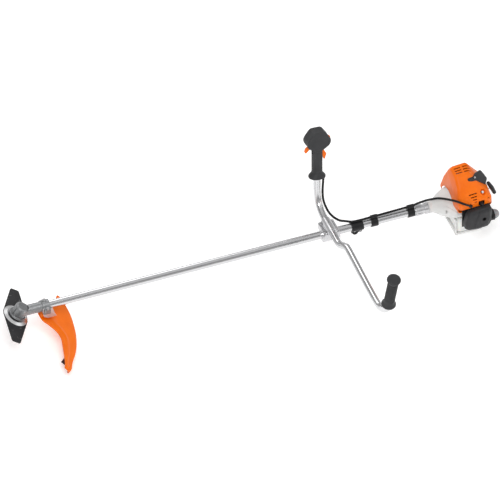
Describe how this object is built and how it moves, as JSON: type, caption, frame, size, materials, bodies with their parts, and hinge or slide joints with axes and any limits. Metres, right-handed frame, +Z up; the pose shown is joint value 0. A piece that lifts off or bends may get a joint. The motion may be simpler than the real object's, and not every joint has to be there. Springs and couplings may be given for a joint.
{
  "type": "brush cutter",
  "caption": "Petrol brush cutter: long metal drive tube, tilted gearhead with two-edged grass blade and curved guard, two-handed handlebar with control handle, compact engine.",
  "frame": {"origin": "on the drive tube axis under the centre of the handlebar clamp", "axes": "+X along the drive tube to the engine, +Z up, -Y to the operator's left"},
  "size_m": [1.6045, 0.6797, 0.4242],
  "materials": {
    "cast_metal": "fine cast surface",
    "housing_grey": "moulded, slightly satin",
    "tank_white": "translucent moulded",
    "tube_metal": "bright drawn and anodised",
    "steel": "machined",
    "plate_steel": "turned",
    "dark_steel": "blackened",
    "blade_black": "black paint, ground edges",
    "orange": "satin moulded",
    "grip_rubber": "matt ribbed",
    "black_plastic": "moulded",
    "cover_grey": "fine grained",
    "cable_black": "smooth sheath",
    "bulb": "smooth translucent",
    "white_parts": "plain"
  },
  "bodies": {
    "root": {"gearbox_housing": "cast_metal", "gearbox_cap": "cast_metal", "gearbox_screws": "steel", "grease_plug": "dark_steel", "gearbox_bearings": "steel", "deflector": "orange", "deflector_bracket": "dark_steel", "deflector_screws": "dark_steel", "line_knife": "dark_steel", "drive_tube": "tube_metal", "shaft_bushes": "white_parts", "handlebar_clamp_base": "cast_metal", "handlebar_clamp_cap": "cast_metal", "handlebar_screws": "steel", "handlebar": "tube_metal", "left_grip": "grip_rubber", "control_handle": "grip_rubber", "throttle_cable": "cable_black", "harness_eyelet": "black_plastic", "eyelet_screw": "steel", "cable_clips": "black_plastic", "vibration_collar": "cast_metal", "clutch_housing": "housing_grey", "clutch_bearing": "steel", "crankcase": "cast_metal", "cylinder": "cast_metal", "spark_plug": "white_parts", "plug_cover": "black_plastic", "engine_shroud": "orange", "muffler": "dark_steel", "carburettor": "cast_metal", "filter_base": "black_plastic", "air_filter": "white_parts", "starter_housing": "black_plastic", "fuel_tank": "tank_white", "base_foot": "housing_grey"},
    "cutter": {"bevel_gear": "steel", "output_shaft": "steel", "thrust_plate": "plate_steel", "grass_blade": "blade_black", "rider_plate": "plate_steel", "blade_nut": "dark_steel"},
    "drive_line": {"bevel_pinion": "steel", "drive_shaft": "steel", "clutch_drum": "steel"},
    "crank": {"crankshaft": "steel", "flywheel": "steel", "clutch_shoes": "steel"},
    "piston_group": {"piston": "steel", "connecting_rod": "steel"},
    "trigger": {"throttle_trigger": "orange"},
    "lockout": {"throttle_lockout": "orange"},
    "slider": {"stop_slider": "orange"},
    "choke": {"choke_lever": "black_plastic"},
    "primer": {"primer_bulb": "bulb"},
    "cap": {"fuel_cap": "black_plastic"},
    "air_cover": {"filter_cover": "cover_grey"},
    "pull_grip": {"starter_grip": "black_plastic", "starter_rope": "white_parts"},
    "pulley": {"starter_pulley": "white_parts"}
  },
  "joints": [
    {"name": "cutter_spin", "type": "hinge", "parent": "root", "child": "cutter", "pos_m": [-1.022, 0, 0], "axis": [0.4509, -0.1917, 0.8718], "continuous": true},
    {"name": "drive_spin", "type": "hinge", "parent": "root", "child": "drive_line", "pos_m": [0, 0, 0], "axis": [1, 0, 0], "continuous": true},
    {"name": "crank_spin", "type": "hinge", "parent": "root", "child": "crank", "pos_m": [0.45, 0, 0], "axis": [1, 0, 0], "continuous": true},
    {"name": "piston_stroke", "type": "slide", "parent": "root", "child": "piston_group", "axis": [0, 0, -1], "range_m": [0, 0.028]},
    {"name": "trigger_pull", "type": "hinge", "parent": "root", "child": "trigger", "pos_m": [0.01889, 0.13379, 0.23183], "axis": [-0.0147, 0.9806, -0.1954], "range_deg": [0, 18], "stiffness_Nm_per_rad": 0.2, "springref_deg": -17.19},
    {"name": "lockout_press", "type": "hinge", "parent": "root", "child": "lockout", "pos_m": [-0.00556, 0.13771, 0.25333], "axis": [0.0147, -0.9806, 0.1954], "range_deg": [0, 14], "stiffness_Nm_per_rad": 0.2, "springref_deg": -17.19},
    {"name": "stop_slide", "type": "slide", "parent": "root", "child": "slider", "axis": [0.0735, 0.1959, 0.9779], "range_m": [-0.007, 0.008]},
    {"name": "choke_turn", "type": "hinge", "parent": "root", "child": "choke", "pos_m": [0.459, -0.088, 0.049], "axis": [0, 0, 1], "range_deg": [0, 40]},
    {"name": "primer_press", "type": "slide", "parent": "root", "child": "primer", "axis": [-1, 0, 0], "range_m": [0, 0.004], "stiffness_N_per_m": 800, "springref_m": -0.001},
    {"name": "fuel_cap_turn", "type": "hinge", "parent": "root", "child": "cap", "pos_m": [0.492, 0.024, -0.082], "axis": [1, 0, 0], "range_deg": [0, 90]},
    {"name": "filter_cover_off", "type": "slide", "parent": "root", "child": "air_cover", "axis": [0, -1, 0], "range_m": [0, 0.06]},
    {"name": "starter_pull", "type": "slide", "parent": "root", "child": "pull_grip", "axis": [1, 0, 0], "range_m": [0, 0.09]},
    {"name": "pulley_turn", "type": "hinge", "parent": "root", "child": "pulley", "pos_m": [0.487, 0, 0], "axis": [1, 0, 0], "range_deg": [0, 200]}
  ],
  "couplings": [
    {"joint": "drive_spin", "follows": "cutter_spin", "ratio": -1.4},
    {"joint": "pulley_turn", "follows": "starter_pull", "rad_per_m": 36.36}
  ]
}
